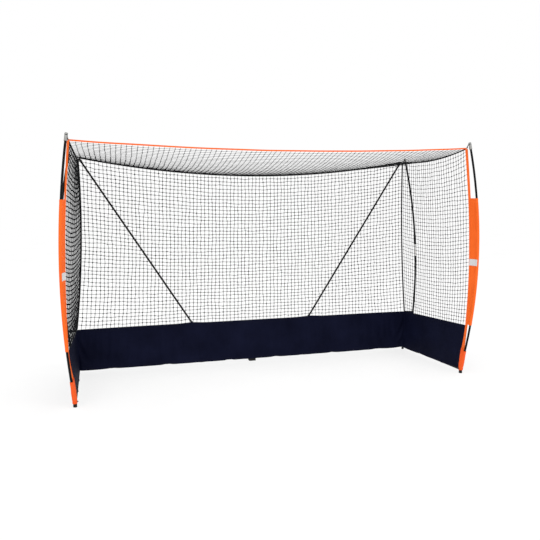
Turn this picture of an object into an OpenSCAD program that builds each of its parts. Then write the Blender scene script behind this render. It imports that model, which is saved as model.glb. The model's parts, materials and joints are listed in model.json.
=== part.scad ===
// Portable field goal: a steel base on the ground, four bent rods that stand up from it
// like archery bows, two rear stays, and a net, a skirt and orange edge bands stretched between them.
// Seen from the front the goal mouth faces -Y, +X is to the right and +Z is up.
// Places are first given from the line of the front feet, then moved so that the origin
// is on the ground at the middle of the overall box.

/* [Goal] */
// Distance between the centres of the two front feet
goal_w = 3648; // [3600:4:3700]
// Height of the front top corners of the net
goal_h = 2180; // [2160:2:2200]
// Distance from the front feet back to the rear tube
base_depth = 1095; // [1080:5:1110]
// Distance between the centres of the two rear feet
rear_w = 3550; // [3500:5:3580]
// Height of the rear top corners of the net
rear_h = 2096; // [2070:2:2110]
// Height of the top edge of the skirt at the rear corners
skirt_h = 445; // [430:5:460]

/* [Base tubes] */
// Outer diameter of the base tubes
tube_d = 30; // [28:1:32]
// Wall of every base tube
tube_wall = 2; // [1.5:0.5:2.5]
// Height of the front feet
front_foot_h = 28; // [28:1:30]
// Wall of the corner fittings
sleeve_wall = 3; // [2.5:0.5:3]

/* [Bows and stays] */
// Diameter of the bow rods
rod_d = 20; // [18:0.5:21]
// Radius that a bow is bent to
bow_radius = 5000; // [4800:50:5400]
// Diameter of the rear stays
stay_d = 18; // [16:1:19]
// Length of the metal ferrule that joins the two halves of a bow
ferrule_len = 130; // [110:5:150]

/* [Net and fabric] */
// Thickness that stands for the knotted net
net_t = 3; // [2:0.5:4]
// Thickness of the skirt
skirt_t = 3; // [2:0.5:4]
// Diameter of the cords bound into the edges of the net
cord_d = 14; // [12:1:17]
// Width of the orange edge bands
band_w = 24; // [20:1:25]
// Thickness of the orange edge bands
band_t = 3; // [2:0.5:4]
// Height of the crossbar band, which is webbing folded double
bar_h = 12; // [10:1:16]

/* [Buttons] */
// Diameter of the spring buttons that lock the tubes
button_d = 8; // [6:0.5:9]

/* [Hidden] */
$fn = 48;
run_gap = 0.08;          // radial clearance where a piece slides in another
seat_gap = 0.05;         // clearance between pieces that seat on each other
origin_y = 531;          // from the front feet back to the middle of the overall depth

// Base tubes
tube_r = tube_d / 2;
tube_bore = tube_r - tube_wall;
tube_z = front_foot_h + tube_r;
sleeve_r = tube_r + sleeve_wall;
corner = [rear_w / 2, base_depth, tube_z];
front_post = [goal_w / 2, 0, tube_z];
arm_len = norm(front_post - corner);
arm_splay = atan2(front_post.x - corner.x, corner.y - front_post.y);
spigot_len = 100;        // reduced end of the left rear tube
leg_rear = 95;           // corner fitting, along the rear tube
leg_side = 175;          // corner fitting, along the side arm
leg_stop = 25;           // rear tube stops this far from the corner
arm_stop = 100;          // side arm stops this far from the corner
post_r = 13.5;
front_foot_r = 16;
peg_r = 4;               // peg that an eyelet in the orange sock hooks on

// Bows, given for the right side: socket mouth, tip and the way that the rod bulges
front_mouth = [front_post.x + 11, -12, 123];
front_tip = [front_post.x - 2, -32, goal_h + 53];
front_bulge = [0.653, -0.757, 0];
front_tail = 80;         // length of rod inside the front socket
front_nock = 67;         // length of the metal tip
rear_mouth = [corner.x + 32, corner.y - 93, 134];
rear_tip = [corner.x + 14, corner.y + 77, rear_h + 44];
rear_bulge = [1, 0, 0];
rear_tail = 70;          // length of rod inside the rear socket
rear_nock = 45;
nock_solid = 24.5;       // length of a tip beyond its bore
groove_low = 20.5;       // groove for the cord loop, measured down from the top of a tip
groove_high = 17;
rod_r = rod_d / 2;
socket_r = rod_r + 3;
joint_drop = 15;         // the ferrule sits a little below the middle of the bow
lap = 0.4;               // a rod's bent and straight lengths run into each other by this much
end_r = rod_r - 0.2;     // the straight ends are turned down a little
sleeve_z0 = 485;         // lower edge of the orange sleeves
sleeve_z1 = 1710;        // upper edge of the orange sleeves

// Rear stays, right side
stay_r = stay_d / 2;
stay_foot = [395, corner.y, tube_z + 24];
stay_top = [corner.x - 76, corner.y + 14, rear_h - 14];

// Corners of the net, right side
net_front = [goal_w / 2 - 12, 0, goal_h];
net_rear = [corner.x - 61, corner.y - 15, rear_h];
net_foot = [corner.x - 3, corner.y - 24, skirt_h + 6];
front_sag = 50;
rear_sag = 160;
roof_sag = [-16, 0, -52];    // how far a roof side cord bows in and down
seam_bow = [-34, -25, 0];    // how far a rear seam is pulled in
cord_r = cord_d / 2;

// Spine of the right front band, from the orange sock to the net corner
BAND_SPINE = [
    [net_front.x + 24, -3, 221],
    [net_front.x + 56, -10, sleeve_z0],
    [net_front.x + 60, -30, 900],
    [net_front.x + 54, -30, 1300],
    [net_front.x + 36, -20, sleeve_z1],
    [net_front.x, 0, goal_h - 7]
];
band_end_way = [0.74, -0.67, 0];     // direction of a band's width at its ends
band_mid_way = [0.45, -0.89, 0];     // and at the middle of the sleeve
band_flare = 6.5;                    // how much wider a band gets at its lower end
patch_h = 62;            // height of the patch on a sleeve

// Skirt, right side, from the rear corner to the front band
skirt_y = corner.y - 24;
skirt_rear_low = [corner.x - 27, skirt_y - 9, 31];
skirt_rear_top = [corner.x - 4, skirt_y - 3, skirt_h - 5];
sock_z0 = 31;            // lower edge of the orange socks
sock_z1 = 217;           // upper edge of the orange socks

// Buttons
button_r = button_d / 2;
button_proud = 2.6;      // how far a button stands out of the outer tube
flange_r = button_r + 2.5;
centre_button_x = -spigot_len / 2;
rear_button_x = leg_rear - 35;
side_button_s = leg_side - 35;

function unit(v) = v / norm(v);
function mix(a, b, t) = a + (b - a) * t;
function hung(a, b, bow, t) = mix(a, b, t) + 4 * t * (1 - t) * bow;
function flip(p) = [-p.x, p.y, p.z];
function flat_part(v, axis) = v - (v * axis) * axis;
function degrees(mm) = mm / bow_radius * 180 / PI;

// Smooth curve through the points of p
function spline(p, t) =
    let(n = len(p) - 1, s = min(floor(t * n), n - 1), f = t * n - s)
    let(a = p[max(s - 1, 0)], b = p[s], c = p[s + 1], d = p[min(s + 2, n)])
    0.5 * (2 * b + (c - a) * f + (2 * a - 5 * b + 4 * c - d) * f * f
        + (3 * b - a - 3 * c + d) * f * f * f);

// Surface spanned by four edges: low and high run with u, near and far run with v
function coons(low, high, near, far, u, v) =
    (1 - v) * low(u) + v * high(u) + (1 - u) * near(v) + u * far(v)
    - (1 - u) * (1 - v) * low(0) - u * (1 - v) * low(1)
    - (1 - u) * v * high(0) - u * v * high(1);

// A bow is an arc over the chord from its socket's mouth to its tip; angles run from its middle
function bow_mouth(rear) = rear ? rear_mouth : front_mouth;
function bow_tail(rear) = rear ? rear_tail : front_tail;
function bow_nock(rear) = rear ? rear_nock : front_nock;
function bow_span(rear) = (rear ? rear_tip : front_tip) - bow_mouth(rear);
function bow_up(rear) = unit(bow_span(rear));
function bow_out(rear) = unit(flat_part(rear ? rear_bulge : front_bulge, bow_up(rear)));
function bow_chord(rear) = norm(bow_span(rear));
function bow_half(rear) = asin(bow_chord(rear) / 2 / bow_radius);
function bow_top(rear) = bow_half(rear) - degrees(bow_nock(rear));
function bow_angle(rear, z) =
    asin(((z - bow_mouth(rear).z) / bow_up(rear).z - bow_chord(rear) / 2) / bow_radius);
function bow_point(rear, angle) =
    bow_mouth(rear) + bow_up(rear) * (bow_chord(rear) / 2 + bow_radius * sin(angle))
    + bow_out(rear) * bow_radius * (cos(angle) - cos(bow_half(rear)));
function bow_way(rear, angle) = bow_up(rear) * cos(angle) - bow_out(rear) * sin(angle);
function bow_at(rear, z) = bow_point(rear, bow_angle(rear, z));

// Direction of a front band's width, and a line at a distance from its spine
function band_across(t) = unit(mix(band_end_way, band_mid_way, sin(180 * min(1, max(0, t)))));
function band_side(t, off) = spline(BAND_SPINE, t) + band_across(t) * off;
function band_outer(t) = band_w / 2 + band_flare * max(0, 1 - t / 0.14);

// Front edge of the right side skirt, which follows the sock and then the band
skirt_front = [
    [front_post.x - 21, 15, 46],
    [front_post.x - 4, 8, 190],
    band_side(0.086, -band_w / 2 - 3),
    band_side(0.195, -band_w / 2 - 3)
];

// Edges of the net, as curves from 0 to 1
front_edge = function(t)
    hung([-net_front.x, 12, net_front.z - 9], [net_front.x, 12, net_front.z - 9], [0, 20, -front_sag], t);
rear_edge = function(t) hung(flip(net_rear), net_rear, [0, -20, -rear_sag], t);
roof_edge = function(t) hung(net_front, net_rear, roof_sag, t);
seam_edge = function(t) hung(net_foot, net_rear, seam_bow, t);
band_edge = function(t) band_side(0.205 + 0.795 * t, -band_w / 2 - 6);
skirt_line = function(t) mix(net_foot + [-6, -6, 12], band_edge(0) + [-2, 12, 0], t);

// Frame whose Z runs from a to b and whose X points to the bulge
module along(a, b, bulge) {
    ez = unit(b - a);
    ex = unit(flat_part(bulge, ez));
    ey = cross(ez, ex);
    multmatrix([
        [ex.x, ey.x, ez.x, a.x],
        [ex.y, ey.y, ez.y, a.y],
        [ex.z, ey.z, ez.z, a.z]
    ]) children();
}

// Bends a 2D section into an arc over a chord, between two angles from the arc's middle
module arc(chord, radius, from, to) {
    translate([-radius * cos(asin(chord / 2 / radius)), 0, chord / 2])
        rotate([90, 0, 0])
        rotate([0, 0, from])
        rotate_extrude(angle = to - from, $fn = 720)
        translate([radius, 0])
        children();
}

// Round cord that hangs from a to b in an arc
module arc_cord(a, b, bow, r) {
    chord = norm(b - a);
    sag = norm(bow);
    radius = (chord * chord / 4 + sag * sag) / (2 * sag);
    half = asin(chord / 2 / radius);
    along(a, b, bow) arc(chord, radius, -half, half) circle(r, $fn = 24);
}

// Straight cylinder from a to b
module bar(a, b, r) {
    along(a, b, abs(unit(b - a).z) > 0.9 ? [1, 0, 0] : [0, 0, 1]) cylinder(h = norm(b - a), r = r);
}

// Skin over a list of rings; every ring has the same even number of points, half of them
// up one face and half back down the other
module skin(rings) {
    n = len(rings[0]);
    last = len(rings) - 1;
    sides = [for (i = [0 : last - 1], j = [0 : n - 1])
        let(k = (j + 1) % n, a = i * n + j, b = (i + 1) * n + j, c = (i + 1) * n + k, d = i * n + k)
        each [[a, b, c], [a, c, d]]];
    caps = [for (j = [0 : n / 2 - 2])
        let(a = j, b = j + 1, c = n - 2 - j, d = n - 1 - j, e = last * n)
        each [[a, b, c], [a, c, d], [e + c, e + b, e + a], [e + d, e + c, e + a]]];
    polyhedron([for (r = rings) each r], concat(sides, caps), convexity = 4);
}

// Flat ring of a ribbon around point p
function strip(p, across, through) =
    [p + across + through, p - across + through, p - across - through, p + across - through];

// Sheet of even thickness over surface f(u, v); half is half its thickness, along u x v
module sheet(f, nu, nv, half, margin_u, margin_v) {
    across = [for (i = [0 : nu]) margin_u + (1 - 2 * margin_u) * i / nu];
    up = [for (j = [0 : nv]) margin_v + (1 - 2 * margin_v) * j / nv];
    skin([for (i = [0 : nu])
        concat([for (j = [0 : nv]) f(across[i], up[j]) - half],
            [for (j = [nv : -1 : 0]) f(across[i], up[j]) + half])]);
}

module mirrored(side) {
    mirror([side < 0 ? 1 : 0, 0, 0]) children();
}

// Moves a piece from the front feet's line to the overall origin
module placed(side = 1) {
    translate([0, -origin_y, 0]) mirrored(side) children();
}

// ---- Bows ----

// Bends a 2D section along a bow, between two angles
module bow_arc(rear, from, to) {
    along(bow_mouth(rear), bow_mouth(rear) + bow_span(rear), bow_out(rear))
        arc(bow_chord(rear), bow_radius, from, to)
        children();
}

// Frame at an angle on a bow, with Z along the rod
module on_bow(rear, angle) {
    along(bow_point(rear, angle), bow_point(rear, angle) + bow_way(rear, angle), bow_out(rear)) children();
}

joint_angle = -degrees(joint_drop);

module bow_lower(rear) {
    color("#161618") {
        bow_arc(rear, -bow_half(rear), joint_angle - degrees(0.5)) circle(rod_r);
        on_bow(rear, -bow_half(rear)) translate([0, 0, seat_gap - bow_tail(rear)])
            cylinder(h = bow_tail(rear) - seat_gap + lap, r = end_r);
    }
}

module bow_upper(rear) {
    color("#161618") {
        bow_arc(rear, joint_angle + degrees(0.5), bow_top(rear)) circle(rod_r);
        on_bow(rear, bow_top(rear)) translate([0, 0, -lap])
            cylinder(h = bow_nock(rear) - nock_solid - seat_gap + lap, r = end_r);
    }
}

module bow_ferrule(rear) {
    reach = degrees(ferrule_len / 2);
    color("silver") bow_arc(rear, joint_angle - reach, joint_angle + reach) difference() {
        circle(rod_r + 2);
        circle(rod_r + seat_gap);
    }
}

// Metal nock: barrel over the rod's end, a groove for the cord loop, and a domed head
module bow_tip(rear) {
    h = bow_nock(rear);
    r = rod_r + (rear ? 1.5 : 3.5);
    neck = rod_r - 1;
    bore = rod_r + seat_gap;
    color("silver") on_bow(rear, bow_top(rear)) rotate_extrude()
        polygon([[bore, 0], [r - 0.8, 0], [r, 0.8], [r, h - groove_low], [neck, h - groove_low],
            [neck, h - groove_high], [r, h - groove_high + 1.5], [r, h - 6], [r - 1, h - 3],
            [r - 4, h - 0.7], [0, h], [0, h - nock_solid], [bore, h - nock_solid]]);
}

// Tube that holds the foot of a bow; drawn solid, its bore is cut by socket_bore()
module socket(rear, root) {
    tail = bow_tail(rear);
    on_bow(rear, -bow_half(rear)) {
        translate([0, 0, -tail - root]) cylinder(h = tail + root, r = socket_r);
        translate([0, 0, -6]) cylinder(h = 6, r = socket_r + 1);
    }
}

module socket_bore(rear) {
    on_bow(rear, -bow_half(rear)) translate([0, 0, -bow_tail(rear)])
        cylinder(h = bow_tail(rear) + 5, r = rod_r + run_gap);
}

// ---- Base ----

// Frame at the rear right corner, with Z along the side arm towards the front
module on_arm() {
    translate(corner) rotate([0, 0, arm_splay]) rotate([90, 0, 0]) children();
}

// Hole for a button, from the tube's axis outwards along local X
module button_hole(out) {
    rotate([0, 90, 0]) cylinder(h = out, r = button_r + run_gap);
}

module rear_tube(side) {
    outer = corner.x - leg_stop;
    inner = side > 0 ? -spigot_len : spigot_len;
    color("#1b1b1d") placed(side) {
        difference() {
            union() {
                translate([inner, corner.y, tube_z]) rotate([0, 90, 0])
                    cylinder(h = outer - inner, r = tube_r);
                if (side < 0)
                    translate([0, corner.y, tube_z]) rotate([0, 90, 0])
                        cylinder(h = inner + 1, r = tube_bore - run_gap);
                stay_socket();
            }
            if (side > 0)
                translate([inner - 1, corner.y, tube_z]) rotate([0, 90, 0])
                    cylinder(h = outer - inner + 2, r = tube_bore);
            else {
                translate([inner + 6, corner.y, tube_z]) rotate([0, 90, 0])
                    cylinder(h = outer - inner, r = tube_bore);
                translate([-1, corner.y, tube_z]) rotate([0, 90, 0])
                    cylinder(h = inner + 8, r = tube_bore - tube_wall);
            }
            stay_bore();
            translate([corner.x - rear_button_x, corner.y, tube_z]) rotate([0, 0, 90]) button_hole(30);
            translate([side > 0 ? centre_button_x : -centre_button_x, corner.y, tube_z])
                rotate([0, 0, 90]) button_hole(30);
        }
    }
}

module stay_socket() {
    intersection() {
        bar(mix(stay_foot, stay_top, -0.01), mix(stay_foot, stay_top, 0.018), stay_r + 3);
        translate([stay_foot.x - 60, corner.y - 30, tube_z]) cube([160, 60, 80]);
    }
}

module stay_bore() {
    bar(stay_foot, mix(stay_foot, stay_top, 0.04), stay_r + run_gap);
}

module corner_fitting(side) {
    color("#1b1b1d") placed(side) difference() {
        union() {
            translate(corner) rotate([0, -90, 0]) cylinder(h = leg_rear, r = sleeve_r);
            on_arm() cylinder(h = leg_side, r = sleeve_r);
            translate(corner) sphere(sleeve_r + 2.5);
            translate([corner.x, corner.y, 6]) cylinder(h = tube_z - 6, r = 10);
            socket(true, 20);
        }
        translate(corner) rotate([0, -90, 0]) translate([0, 0, leg_stop - 3])
            cylinder(h = leg_rear, r = tube_bore);
        translate(corner) rotate([0, -90, 0]) translate([0, 0, leg_stop])
            cylinder(h = leg_rear, r = tube_r + run_gap);
        on_arm() translate([0, 0, leg_stop - 3]) cylinder(h = leg_side, r = tube_bore);
        on_arm() translate([0, 0, arm_stop]) cylinder(h = leg_side, r = tube_r + run_gap);
        translate([corner.x - rear_button_x, corner.y, tube_z]) rotate([0, 0, 90]) button_hole(30);
        on_arm() translate([0, 0, side_button_s]) button_hole(30);
        socket_bore(true);
    }
}

module side_arm(side) {
    color("#1b1b1d") placed(side) difference() {
        union() {
            on_arm() translate([0, 0, arm_stop]) cylinder(h = arm_len - arm_stop, r = tube_r);
            translate([front_post.x, 0, 6]) cylinder(h = 58, r = post_r);
            socket(false, 6);
            sock_peg(peg_r);
        }
        on_arm() translate([0, 0, arm_stop - 1]) cylinder(h = arm_len - arm_stop - 20, r = tube_bore);
        on_arm() translate([0, 0, side_button_s]) button_hole(30);
        socket_bore(false);
    }
}

// Peg on the side of a front post that faces the other post
module sock_peg(r) {
    translate([front_post.x, 0, 47]) rotate([0, -90, 0]) cylinder(h = 27, r = r);
}

// Rubber cup pushed on the lower end of a post
module foot_cup(r, h, hole) {
    rotate_extrude()
        polygon([[0, 0], [r - 2, 0], [r, 2], [r, h - 5], [r - 1, h - 0.3], [hole + seat_gap, h - 0.3],
            [hole + seat_gap, 6 - seat_gap], [0, 6 - seat_gap]]);
}

module front_foot(side) {
    color("#121212") placed(side) translate([front_post.x, 0, 0])
        foot_cup(front_foot_r, front_foot_h, post_r);
}

module rear_foot(side) {
    color("#121212") placed(side) translate([corner.x, corner.y, 0])
        foot_cup(12.5, tube_z - sleeve_r, 10);
}

// Moulded block that carries the middle of the rear tube
module centre_foot() {
    color("#121212") placed() difference() {
        union() {
            translate([-34, corner.y - 26, 0]) cube([68, 52, tube_z - tube_r - 1]);
            translate([-34, corner.y - 17, 0]) cube([68, 34, tube_z]);
            translate([-34, corner.y, tube_z]) rotate([0, 90, 0]) cylinder(h = 68, r = tube_r + 3.5);
        }
        translate([-40, corner.y, tube_z]) rotate([0, 90, 0]) cylinder(h = 80, r = tube_r + seat_gap);
    }
}

// Spring button: flange inside the tube, pin and domed head; local X points outwards
module button_piece(inner, outer) {
    shelf = sqrt(inner * inner - flange_r * flange_r) - 0.1;
    top = outer + button_proud;
    rotate([0, 90, 0]) rotate_extrude()
        polygon([[0, shelf - 1.5], [flange_r, shelf - 1.5], [flange_r, shelf], [button_r, shelf],
            [button_r, top - 1.5], [button_r - 1.5, top], [0, top]]);
}

// Bent strip that pushes a button out; it lies in the tube along local Z
module button_spring(inner) {
    high = sqrt(inner * inner - flange_r * flange_r) - 1.7;
    low = 0.2 - sqrt(inner * inner - 16);
    rotate([90, 0, 0]) translate([0, 0, -3.5]) linear_extrude(7) difference() {
        polygon([[high, -6], [3, 30], [-3, 37], [low + 3, 38], [low, 34], [low, -6]]);
        polygon([[high - 0.95, -7], [2.1, 29.7], [-3.4, 36.1], [low + 3.3, 37.1], [low + 0.9, 33.6],
            [low + 0.9, -7]]);
    }
}

module at_centre_button() {
    translate([centre_button_x, corner.y, tube_z]) rotate([0, 0, 90]) children();
}

module at_rear_button(side) {
    mirrored(side) translate([corner.x - rear_button_x, corner.y, tube_z]) rotate([0, 0, 90]) children();
}

module at_side_button(side) {
    mirrored(side) on_arm() translate([0, 0, side_button_s]) children();
}

module button_centre() {
    color("silver") placed() at_centre_button() button_piece(tube_bore - tube_wall, tube_r);
}

module button_rear(side) {
    color("silver") placed() at_rear_button(side) button_piece(tube_bore, sleeve_r);
}

module button_side(side) {
    color("silver") placed() at_side_button(side) button_piece(tube_bore, sleeve_r);
}

module button_springs() {
    color("silver") placed() {
        at_centre_button() rotate([90, 0, 0]) button_spring(tube_bore - tube_wall);
        for (side = [-1, 1]) {
            at_rear_button(side) rotate([-90, 0, 0]) button_spring(tube_bore);
            at_side_button(side) button_spring(tube_bore);
        }
    }
}

// ---- Stays ----

module stay(side) {
    color("#161618") placed(side)
        bar(stay_foot + seat_gap * unit(stay_top - stay_foot), stay_top, stay_r);
}

module stay_caps() {
    along_stay = unit(stay_top - stay_foot);
    color("#121212") for (side = [-1, 1]) placed(side) difference() {
        bar(stay_top - 38 * along_stay, stay_top + 6 * along_stay, stay_r + 2);
        bar(stay_top - 40 * along_stay, stay_top + seat_gap * along_stay, stay_r + seat_gap);
    }
}

// ---- Net ----

module roof_net() {
    f = function(u, v) coons(front_edge, rear_edge, function(t) flip(roof_edge(t)), roof_edge, u, v);
    color("#3a3d40") placed() sheet(f, 24, 10, [0, 0, net_t / 2], 0.004, 0.014);
}

module rear_net() {
    low = function(t) mix(flip(net_foot) + [0, 0, 14], net_foot + [0, 0, 14], t);
    f = function(u, v) coons(low, rear_edge, function(t) flip(seam_edge(t)), seam_edge, u, v);
    color("#3a3d40") placed() sheet(f, 24, 12, [0, -net_t / 2, 0], 0.004, 0.012);
}

module side_net(side) {
    low = function(t) skirt_line(1 - t);
    f = function(u, v) coons(low, roof_edge, band_edge, seam_edge, u, v);
    color("#3a3d40") placed(side) sheet(f, 12, 16, [net_t / 2, 0, 0], 0.014, 0.012);
}

// ---- Skirt ----

module rear_skirt() {
    w0 = skirt_rear_low.x - 8;
    w1 = skirt_rear_top.x - 6;
    tied = stay_tie().x;
    color("#14141c") placed() translate([0, skirt_y + skirt_t / 2, 0]) rotate([90, 0, 0])
        linear_extrude(skirt_t)
        polygon([[-w0, 31], [w0, 31], [w1, skirt_h - 6], [tied, skirt_h + 9], [0, skirt_h + 1],
            [-tied, skirt_h + 9], [-w1, skirt_h - 6]]);
}

module side_skirt(side) {
    f = function(u, v) mix(spline(skirt_front, v), mix(skirt_rear_low, skirt_rear_top, v), u);
    color("#14141c") placed(side) sheet(f, 6, 6, [skirt_t / 2, 0, 0], 0, 0);
}

// Stay at the height where the skirt is tied to it
function stay_tie() = mix(stay_foot, stay_top, (skirt_h - stay_foot.z) / (stay_top.z - stay_foot.z));

// Strap loop round an upright rod at p, joined by a web to the point q
module strap(p, q, r, h) {
    way = [q.x - p.x, q.y - p.y];
    translate(p) difference() {
        union() {
            cylinder(h = h, r = r + 1);
            rotate([0, 0, atan2(way.y, way.x)]) translate([0, -1, 0]) cube([norm(way), 2, h]);
        }
        translate([0, 0, -1]) cylinder(h = h + 2, r = r);
    }
}

// Short straps that hold the skirt's top edge to the rear bows and to the stays
module skirt_ties() {
    bow = bow_at(true, skirt_h - 14);
    stay_point = stay_tie();
    color("#14141c") for (side = [-1, 1]) placed(side) {
        strap([bow.x, bow.y, skirt_h - 24], skirt_rear_top + [8, -8, 0], rod_r + 3, 20);
        strap([stay_point.x, stay_point.y, skirt_h - 6],
            [stay_point.x, skirt_y + skirt_t / 2 + 0.2, 0], stay_r + 6, 12);
    }
}

// Webbing loop round a base tube, with a tab sewn to the skirt; local Z runs along the tube
module skirt_loop(tab) {
    difference() {
        union() {
            translate([0, 0, -12]) cylinder(h = 24, r = tube_r + 1.6);
            translate([-tab, -6, -12]) cube([tab, 12, 24]);
        }
        translate([0, 0, -13]) cylinder(h = 26, r = tube_r + 0.2);
    }
}

module skirt_loops() {
    reach = corner.y - skirt_y - skirt_t / 2 - 0.2;
    color("#14141c") placed() {
        for (x = [-1450, -900, -250, 250, 900, 1450])
            translate([x, corner.y, tube_z]) rotate([90, 0, 90]) skirt_loop(reach);
        for (side = [-1, 1], s = [420, 780])
            mirrored(side) on_arm() translate([0, 0, s]) skirt_loop(25.5 - skirt_t / 2 - 6 * s / arm_len);
    }
}

// ---- Bands, sleeves and cords ----

module front_band(side) {
    color("#ff6b24") placed(side) skin([for (i = [0 : 40])
        let(t = i / 40, through = cross([0, 0, band_t / 2], band_across(t)))
        let(inner = band_side(t, -band_w / 2), outer = band_side(t, band_outer(t)))
        strip((inner + outer) / 2, (outer - inner) / 2, through)]);
}

module crossbar_band() {
    run = net_front.x - 16;
    across = [0, 0, bar_h / 2];
    through = [0, band_t / 2, 0];
    color("#ff6b24") placed()
        skin([for (i = [0 : 40])
            let(p = hung([-run, 0, goal_h - 2], [run, 0, goal_h - 2], [0, 28, -front_sag], i / 40))
            strip(p, across, -through)]);
}

// Line where an orange sleeve is sewn to its band
function sleeve_edge(t) = band_side(0.2 + 0.6 * t, band_w / 2 + 2.5);

// Orange sleeve: a pocket round the bow, and a flat panel sewn between the pocket and the band
module front_sleeve(side) {
    panel = [for (i = [0 : 24])
        let(edge = sleeve_edge(i / 24), rod = bow_at(false, edge.z))
        let(way = unit([edge.x - rod.x, edge.y - rod.y, 0]), thick = cross([0, 0, 1], way) * 1.5)
        let(pocket = rod + way * (rod_r + 4.25))
        [pocket - thick, edge - thick, edge + thick, pocket + thick]];
    color("#ff6b24") placed(side) {
        bow_arc(false, bow_angle(false, sleeve_z0), bow_angle(false, sleeve_z1)) difference() {
            circle(rod_r + 4);
            circle(rod_r + 2.5);
        }
        skin(panel);
    }
}

// White reinforcing patch at the middle of each sleeve, on the side that faces the goal mouth;
// it lies on the flat panel and bends round the pocket
module sleeve_patches() {
    mid = sleeve_edge(0.5);
    rod = bow_at(false, mid.z);
    way = unit([mid.x - rod.x, mid.y - rod.y, 0]);
    low = bow_at(false, mid.z - patch_h / 2);
    lean = (rod - low) * 2 / patch_h;
    bend_r = rod_r + 4.4;
    color("white") for (side = [-1, 1]) placed(side)
        multmatrix([
            [way.x, -way.y, lean.x, low.x],
            [way.y, way.x, lean.y, low.y],
            [0, 0, 1, low.z]
        ]) linear_extrude(patch_h) {
            translate([bend_r, 2.3]) square([54, 0.8]);
            intersection() {
                difference() {
                    circle(bend_r + 0.8);
                    circle(bend_r);
                }
                polygon([[0, 0], [30, 5], [30, 30], [-8, 30]]);
            }
        }
}

// Orange sock: a flat pocket over a front socket, closed up to the rod and sewn to the band
module foot_sock(side) {
    color("#f2521c") placed(side) difference() {
        sock_form(0, 0);
        sock_form(1.5, 4);
        on_arm() translate([0, 0, arm_len / 2]) cylinder(h = arm_len / 2, r = tube_r + 1.5);
        sock_peg(peg_r + 0.5);
    }
}

module sock_form(inset, extra) {
    rod = bow_at(false, sock_z1);
    edge = band_side(0, 9 - band_w / 2);
    low = sock_z0 - extra;
    high = sock_z1 - 1 + extra;
    hull() {
        translate([front_post.x - 2.5, 3.5, low]) cylinder(h = 1, r = 18.2 - inset, $fn = 32);
        translate([front_post.x + 2.5, -3.5, low]) cylinder(h = 1, r = 18.2 - inset, $fn = 32);
        translate([edge.x, edge.y, high]) cylinder(h = 1, r = 9 - inset, $fn = 32);
        translate([rod.x, rod.y, high]) cylinder(h = 1, r = rod_r + 5 - inset, $fn = 32);
    }
}

module rear_top_cord() {
    color("#101010") placed()
        arc_cord(flip(net_rear) + [14, 4, -4], net_rear + [-14, 4, -4], [0, -20, -rear_sag],
            cord_r + 1);
}

module roof_cord(side) {
    color("#101010") placed(side)
        arc_cord(net_front + [4, 24, -2], net_rear + [2, -14, 2], roof_sag, cord_r - 1);
}

module seam_cord(side) {
    color("#101010") placed(side)
        arc_cord(net_foot + [2, 2, 0], net_rear + [2, 2, -16], seam_bow, cord_r);
}

// Cord loops that hook the corners of the net on the nocks of the bows
module corner_loops() {
    color("#101010") for (side = [-1, 1]) placed(side) {
        corner_loop(false, net_front + [0, -6, 4]);
        corner_loop(true, net_rear + [14, 12, 4]);
    }
}

module corner_loop(rear, net_corner) {
    rise = bow_nock(rear) - (groove_low + groove_high) / 2;
    way = bow_way(rear, bow_top(rear));
    nock = bow_point(rear, bow_top(rear)) + rise * way;
    outward = unit(flat_part(net_corner - nock, way));
    ring_r = rod_r + 0.65;
    elbow = nock + (rod_r + 7.5) * outward;
    on_bow(rear, bow_top(rear)) translate([0, 0, rise])
        rotate_extrude() translate([ring_r, 0]) circle(1.5, $fn = 24);
    bar(nock + ring_r * outward, elbow, 1.1);
    translate(elbow) sphere(2.4, $fn = 24);
    bar(elbow, net_corner, 1.5);
}

rear_tube(-1);  // rear_tube_left
rear_tube(1);  // rear_tube_right
corner_fitting(-1);  // corner_left
corner_fitting(1);  // corner_right
side_arm(-1);  // side_arm_left
side_arm(1);  // side_arm_right
front_foot(-1);  // front_foot_left
front_foot(1);  // front_foot_right
rear_foot(-1);  // rear_foot_left
rear_foot(1);  // rear_foot_right
centre_foot();
button_centre();
button_rear(-1);  // button_rear_left
button_rear(1);  // button_rear_right
button_side(-1);  // button_side_left
button_side(1);  // button_side_right
button_springs();
placed(-1) bow_lower(false);  // front_bow_lower_left
placed(-1) bow_upper(false);  // front_bow_upper_left
placed(-1) bow_ferrule(false);  // front_bow_ferrule_left
placed(-1) bow_tip(false);  // front_bow_tip_left
placed(1) bow_lower(false);  // front_bow_lower_right
placed(1) bow_upper(false);  // front_bow_upper_right
placed(1) bow_ferrule(false);  // front_bow_ferrule_right
placed(1) bow_tip(false);  // front_bow_tip_right
placed(-1) bow_lower(true);  // rear_bow_lower_left
placed(-1) bow_upper(true);  // rear_bow_upper_left
placed(-1) bow_ferrule(true);  // rear_bow_ferrule_left
placed(-1) bow_tip(true);  // rear_bow_tip_left
placed(1) bow_lower(true);  // rear_bow_lower_right
placed(1) bow_upper(true);  // rear_bow_upper_right
placed(1) bow_ferrule(true);  // rear_bow_ferrule_right
placed(1) bow_tip(true);  // rear_bow_tip_right
stay(-1);  // stay_left
stay(1);  // stay_right
stay_caps();
roof_net();
rear_net();
side_net(-1);  // side_net_left
side_net(1);  // side_net_right
rear_skirt();
side_skirt(-1);  // side_skirt_left
side_skirt(1);  // side_skirt_right
skirt_ties();
skirt_loops();
crossbar_band();
front_band(-1);  // front_band_left
front_band(1);  // front_band_right
front_sleeve(-1);  // sleeve_left
front_sleeve(1);  // sleeve_right
sleeve_patches();
foot_sock(-1);  // foot_sock_left
foot_sock(1);  // foot_sock_right
rear_top_cord();
roof_cord(-1);  // roof_cord_left
roof_cord(1);  // roof_cord_right
seam_cord(-1);  // seam_cord_left
seam_cord(1);  // seam_cord_right
corner_loops();
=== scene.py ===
import json
import math

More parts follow.
